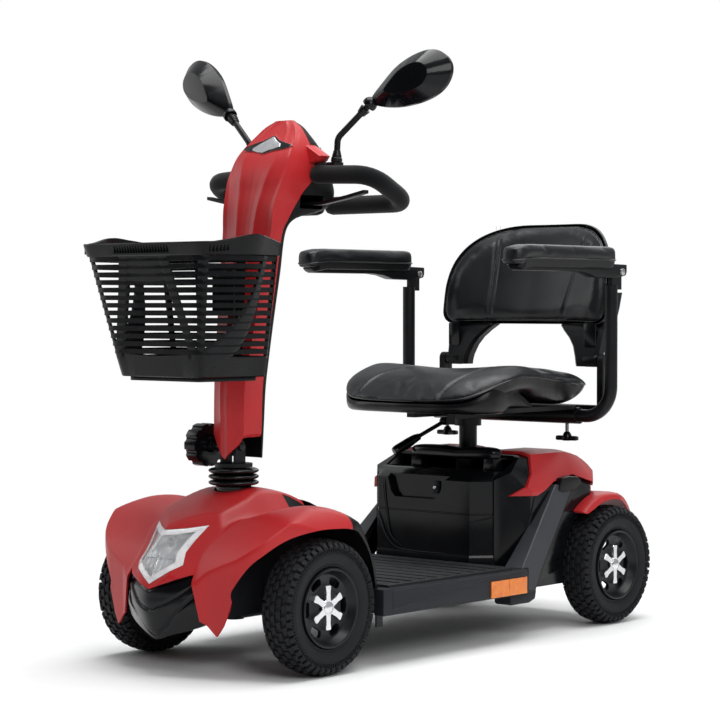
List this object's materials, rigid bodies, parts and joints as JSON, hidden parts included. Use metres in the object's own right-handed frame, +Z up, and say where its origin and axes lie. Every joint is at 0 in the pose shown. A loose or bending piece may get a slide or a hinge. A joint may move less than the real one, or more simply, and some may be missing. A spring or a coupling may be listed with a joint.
{
  "type": "mobility scooter",
  "caption": "Four-wheeled electric mobility scooter with a tilting steering tiller, lift-off basket, swivel seat with folding back and armrests, and a battery box.",
  "frame": {"origin": "on the ground under the middle of the whole machine", "axes": "+X to the rider's left, +Y to the rear, +Z up"},
  "size_m": [0.6434, 1.172, 1.0775],
  "materials": {
    "frame_steel": "black satin powder coat",
    "bright_steel": "bare turned steel",
    "red_shell": "satin red moulded shell",
    "gloss_black": "glossy black moulding",
    "matte_black": "dark grey textured moulding",
    "rubber": "black rubber",
    "tyre": "block-tread tyre rubber",
    "rim": "black painted cast rim",
    "vinyl": "black vinyl",
    "foam": "black foam grip",
    "lens": "clear faceted lens over a bright bowl",
    "amber": "amber prismatic reflector",
    "mirror": "silvered glass",
    "aluminium": "cast housing",
    "battery": "sealed battery block"
  },
  "bodies": {
    "chassis": {"chassis_frame": "frame_steel", "floor_pan": "matte_black", "deck_mat": "rubber", "front_cowl": "red_shell", "cowl_liner": "matte_black", "headlamp_lens": "lens", "nose_bumper": "gloss_black", "rear_shroud": "matte_black", "rear_red_panels": "red_shell", "marker_lamps": "amber", "transaxle": "aluminium", "drive_motor": "frame_steel", "controller": "aluminium", "battery_case": "gloss_black", "battery_handle": "gloss_black", "battery_cells": "battery"},
    "steering": {"steering_column": "frame_steel", "bellows": "rubber"},
    "track_rod": {"track_rod": "bright_steel"},
    "tiller": {"tiller_mast": "frame_steel", "tiller_front_cover": "red_shell", "tiller_rear_cover": "matte_black", "handlebar": "frame_steel", "handlebar_foam": "foam", "console_panel": "matte_black"},
    "lock_knob": {"lock_knob": "gloss_black"},
    "speed_lever": {"speed_lever": "frame_steel"},
    "speed_dial": {"speed_dial": "gloss_black"},
    "ignition_key": {"ignition_key": "bright_steel"},
    "horn_button": {"horn_button": "gloss_black"},
    "basket": {"basket": "matte_black"},
    "seat_post": {"seat_post": "frame_steel"},
    "swivel_lever": {"swivel_lever": "frame_steel"},
    "seat": {"seat_base": "frame_steel", "seat_pan": "matte_black", "seat_cushion": "vinyl"},
    "backrest": {"backrest_shell": "matte_black", "backrest_cushion": "vinyl"},
    "knuckle_left": {"steering_knuckle_left": "frame_steel"},
    "front_wheel_left": {"front_tyre_left": "tyre", "front_rim_left": "rim"},
    "rear_wheel_left": {"rear_tyre_left": "tyre", "rear_rim_left": "rim"},
    "mirror_arm_left": {"mirror_arm_left": "frame_steel"},
    "mirror_left": {"mirror_head_left": "gloss_black", "mirror_glass_left": "mirror"},
    "armrest_frame_left": {"armrest_frame_left": "frame_steel"},
    "armrest_left": {"armrest_pad_left": "matte_black"},
    "armrest_knob_left": {"armrest_knob_left": "gloss_black"},
    "knuckle_right": {"steering_knuckle_right": "frame_steel"},
    "front_wheel_right": {"front_tyre_right": "tyre", "front_rim_right": "rim"},
    "rear_wheel_right": {"rear_tyre_right": "tyre", "rear_rim_right": "rim"},
    "mirror_arm_right": {"mirror_arm_right": "frame_steel"},
    "mirror_right": {"mirror_head_right": "gloss_black", "mirror_glass_right": "mirror"},
    "armrest_frame_right": {"armrest_frame_right": "frame_steel"},
    "armrest_right": {"armrest_pad_right": "matte_black"},
    "armrest_knob_right": {"armrest_knob_right": "gloss_black"}
  },
  "joints": [
    {"name": "steer", "type": "hinge", "parent": "chassis", "child": "steering", "pos_m": [0, -0.37, 0.3], "axis": [0, 0, 1], "range_deg": [-30, 30]},
    {"name": "kingpin_left", "type": "hinge", "parent": "chassis", "child": "knuckle_left", "pos_m": [0.15, -0.37, 0.115], "axis": [0, 0, 1], "range_deg": [-30, 30]},
    {"name": "front_wheel_left_spin", "type": "hinge", "parent": "knuckle_left", "child": "front_wheel_left", "pos_m": [0.2, -0.37, 0.115], "axis": [1, 0, 0], "continuous": true},
    {"name": "rear_wheel_left_spin", "type": "hinge", "parent": "chassis", "child": "rear_wheel_left", "pos_m": [0.2, 0.462, 0.115], "axis": [1, 0, 0], "continuous": true},
    {"name": "kingpin_right", "type": "hinge", "parent": "chassis", "child": "knuckle_right", "pos_m": [-0.15, -0.37, 0.115], "axis": [0, 0, 1], "range_deg": [-30, 30]},
    {"name": "front_wheel_right_spin", "type": "hinge", "parent": "knuckle_right", "child": "front_wheel_right", "pos_m": [-0.2, -0.37, 0.115], "axis": [1, 0, 0], "continuous": true},
    {"name": "rear_wheel_right_spin", "type": "hinge", "parent": "chassis", "child": "rear_wheel_right", "pos_m": [-0.2, 0.462, 0.115], "axis": [1, 0, 0], "continuous": true},
    {"name": "track_rod_swing", "type": "hinge", "parent": "steering", "child": "track_rod", "pos_m": [0, -0.31, 0.09], "axis": [0, 0, 1], "range_deg": [-30, 30]},
    {"name": "tiller_tilt", "type": "hinge", "parent": "steering", "child": "tiller", "pos_m": [0, -0.372, 0.376], "axis": [1, 0, 0], "range_deg": [-5, 20]},
    {"name": "lock_knob_turn", "type": "hinge", "parent": "steering", "child": "lock_knob", "pos_m": [-0.07, -0.372, 0.376], "axis": [1, 0, 0], "range_deg": [0, 360]},
    {"name": "speed_lever_swing", "type": "hinge", "parent": "tiller", "child": "speed_lever", "pos_m": [0, -0.239, 0.799], "axis": [0, 0, 1], "range_deg": [-5, 5], "stiffness_Nm_per_rad": 3},
    {"name": "speed_dial_turn", "type": "hinge", "parent": "tiller", "child": "speed_dial", "pos_m": [0, -0.18312, 0.84673], "axis": [0, 0.891, 0.454], "range_deg": [0, 270]},
    {"name": "ignition_key_turn", "type": "hinge", "parent": "tiller", "child": "ignition_key", "pos_m": [0.028, -0.19946, 0.87881], "axis": [0, 0.891, 0.454], "range_deg": [0, 60]},
    {"name": "horn_press", "type": "slide", "parent": "tiller", "child": "horn_button", "axis": [0, -0.891, -0.454], "range_m": [0, 0.0015], "stiffness_N_per_m": 500, "springref_m": -0.002},
    {"name": "basket_lift", "type": "slide", "parent": "tiller", "child": "basket", "axis": [0, 0, 1], "range_m": [0, 0.06]},
    {"name": "mirror_arm_left_turn", "type": "hinge", "parent": "tiller", "child": "mirror_arm_left", "pos_m": [0.105, -0.22, 0.87], "axis": [0, 0, 1], "range_deg": [-25, 25]},
    {"name": "mirror_left_tilt", "type": "hinge", "parent": "mirror_arm_left", "child": "mirror_left", "pos_m": [0.17, -0.206, 0.968], "axis": [1, 0, 0], "range_deg": [-15, 15]},
    {"name": "mirror_arm_right_turn", "type": "hinge", "parent": "tiller", "child": "mirror_arm_right", "pos_m": [-0.105, -0.22, 0.87], "axis": [0, 0, 1], "range_deg": [-25, 25]},
    {"name": "mirror_right_tilt", "type": "hinge", "parent": "mirror_arm_right", "child": "mirror_right", "pos_m": [-0.17, -0.206, 0.968], "axis": [1, 0, 0], "range_deg": [-15, 15]},
    {"name": "seat_height", "type": "slide", "parent": "chassis", "child": "seat_post", "axis": [0, 0, 1], "range_m": [0, 0.06]},
    {"name": "seat_swivel", "type": "hinge", "parent": "seat_post", "child": "seat", "pos_m": [0, 0.28, 0.402], "axis": [0, 0, 1], "continuous": true},
    {"name": "swivel_lever_lift", "type": "hinge", "parent": "seat_post", "child": "swivel_lever", "pos_m": [-0.059, 0.28, 0.392], "axis": [1, 0, 0], "range_deg": [-15, 0], "stiffness_Nm_per_rad": 1, "springref_deg": 17.19},
    {"name": "backrest_fold", "type": "hinge", "parent": "seat", "child": "backrest", "pos_m": [0, 0.454, 0.512], "axis": [1, 0, 0], "range_deg": [0, 75]},
    {"name": "armrest_left_width", "type": "slide", "parent": "seat", "child": "armrest_frame_left", "axis": [1, 0, 0], "range_m": [0, 0.04]},
    {"name": "armrest_left_flip", "type": "hinge", "parent": "armrest_frame_left", "child": "armrest_left", "pos_m": [0.253, 0.421, 0.684], "axis": [1, 0, 0], "range_deg": [-95, 0]},
    {"name": "armrest_knob_left_turn", "type": "hinge", "parent": "seat", "child": "armrest_knob_left", "pos_m": [0.15, 0.401, 0.37], "axis": [0, 0, 1], "range_deg": [0, 360]},
    {"name": "armrest_right_width", "type": "slide", "parent": "seat", "child": "armrest_frame_right", "axis": [-1, 0, 0], "range_m": [0, 0.04]},
    {"name": "armrest_right_flip", "type": "hinge", "parent": "armrest_frame_right", "child": "armrest_right", "pos_m": [-0.253, 0.421, 0.684], "axis": [1, 0, 0], "range_deg": [-95, 0]},
    {"name": "armrest_knob_right_turn", "type": "hinge", "parent": "seat", "child": "armrest_knob_right", "pos_m": [-0.15, 0.401, 0.37], "axis": [0, 0, 1], "range_deg": [0, 360]}
  ],
  "couplings": [
    {"joint": "kingpin_left", "follows": "steer", "ratio": 1},
    {"joint": "kingpin_right", "follows": "steer", "ratio": 1},
    {"joint": "track_rod_swing", "follows": "steer", "ratio": -1}
  ]
}
